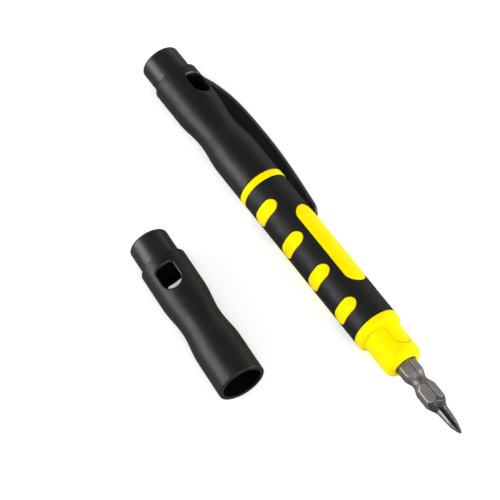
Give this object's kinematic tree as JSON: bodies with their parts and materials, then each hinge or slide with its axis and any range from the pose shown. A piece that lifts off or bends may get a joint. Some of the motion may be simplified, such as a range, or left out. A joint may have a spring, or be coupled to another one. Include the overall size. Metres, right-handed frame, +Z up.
{
  "type": "pocket screwdriver",
  "caption": "Pocket screwdriver with a yellow and black grip, a hex bit held in each end, a clip cap pushed on at the rear and the matching front cap taken off beside it.",
  "frame": {"origin": "on the tool's axis at the front face of the yellow flange, where the front cap seats against the collar", "axes": "+X along the tool's axis, out of the front bit's tip; +Z up from the surface that the tool lies on; +Y towards the clip side, with the taken-off front cap on the -Y side"},
  "size_m": [0.1622, 0.0648, 0.0154],
  "materials": {
    "yellow_plastic": "satin moulded, saturated yellow",
    "black_rubber": "smooth soft-touch overmould",
    "black_shell": "satin moulded",
    "black_plug": "satin moulded",
    "bit_steel": "sand-blasted tool steel with bright edges",
    "socket_steel": "bright turned",
    "spring_steel": "bright drawn wire",
    "bright_disc": "satin nickel plating"
  },
  "bodies": {
    "driver": {"handle_core": "yellow_plastic", "grip_sleeve": "black_rubber", "front_bush": "yellow_plastic", "rear_bush": "yellow_plastic", "front_socket": "socket_steel", "rear_socket": "socket_steel", "front_retaining_ring": "spring_steel", "rear_retaining_ring": "spring_steel"},
    "rear_cap": {"rear_cap_shell": "black_shell", "rear_end_plug": "black_plug", "rear_end_disc": "bright_disc"},
    "clip": {"pocket_clip": "black_shell"},
    "front_bit": {"front_bit": "bit_steel"},
    "rear_bit": {"rear_bit": "bit_steel"},
    "front_cap": {"front_cap_shell": "black_shell", "front_end_plug": "black_plug", "front_end_disc": "bright_disc"}
  },
  "joints": [
    {"name": "rear_cap_slide", "type": "slide", "parent": "driver", "child": "rear_cap", "axis": [-1, 0, 0], "range_m": [0, 0.05]},
    {"name": "clip_flex", "type": "hinge", "parent": "rear_cap", "child": "clip", "pos_m": [-0.1088, 0.00741, -0.00227], "axis": [0, 0.2924, 0.9563], "range_deg": [0, 3], "stiffness_Nm_per_rad": 2},
    {"name": "front_bit_slide", "type": "slide", "parent": "driver", "child": "front_bit", "axis": [1, 0, 0], "range_m": [0, 0.034]},
    {"name": "rear_bit_slide", "type": "slide", "parent": "driver", "child": "rear_bit", "axis": [-1, 0, 0], "range_m": [0, 0.009]},
    {"name": "front_cap_lift", "type": "slide", "parent": "driver", "child": "front_cap", "axis": [0, 0, 1], "range_m": [0, 0.08]}
  ]
}
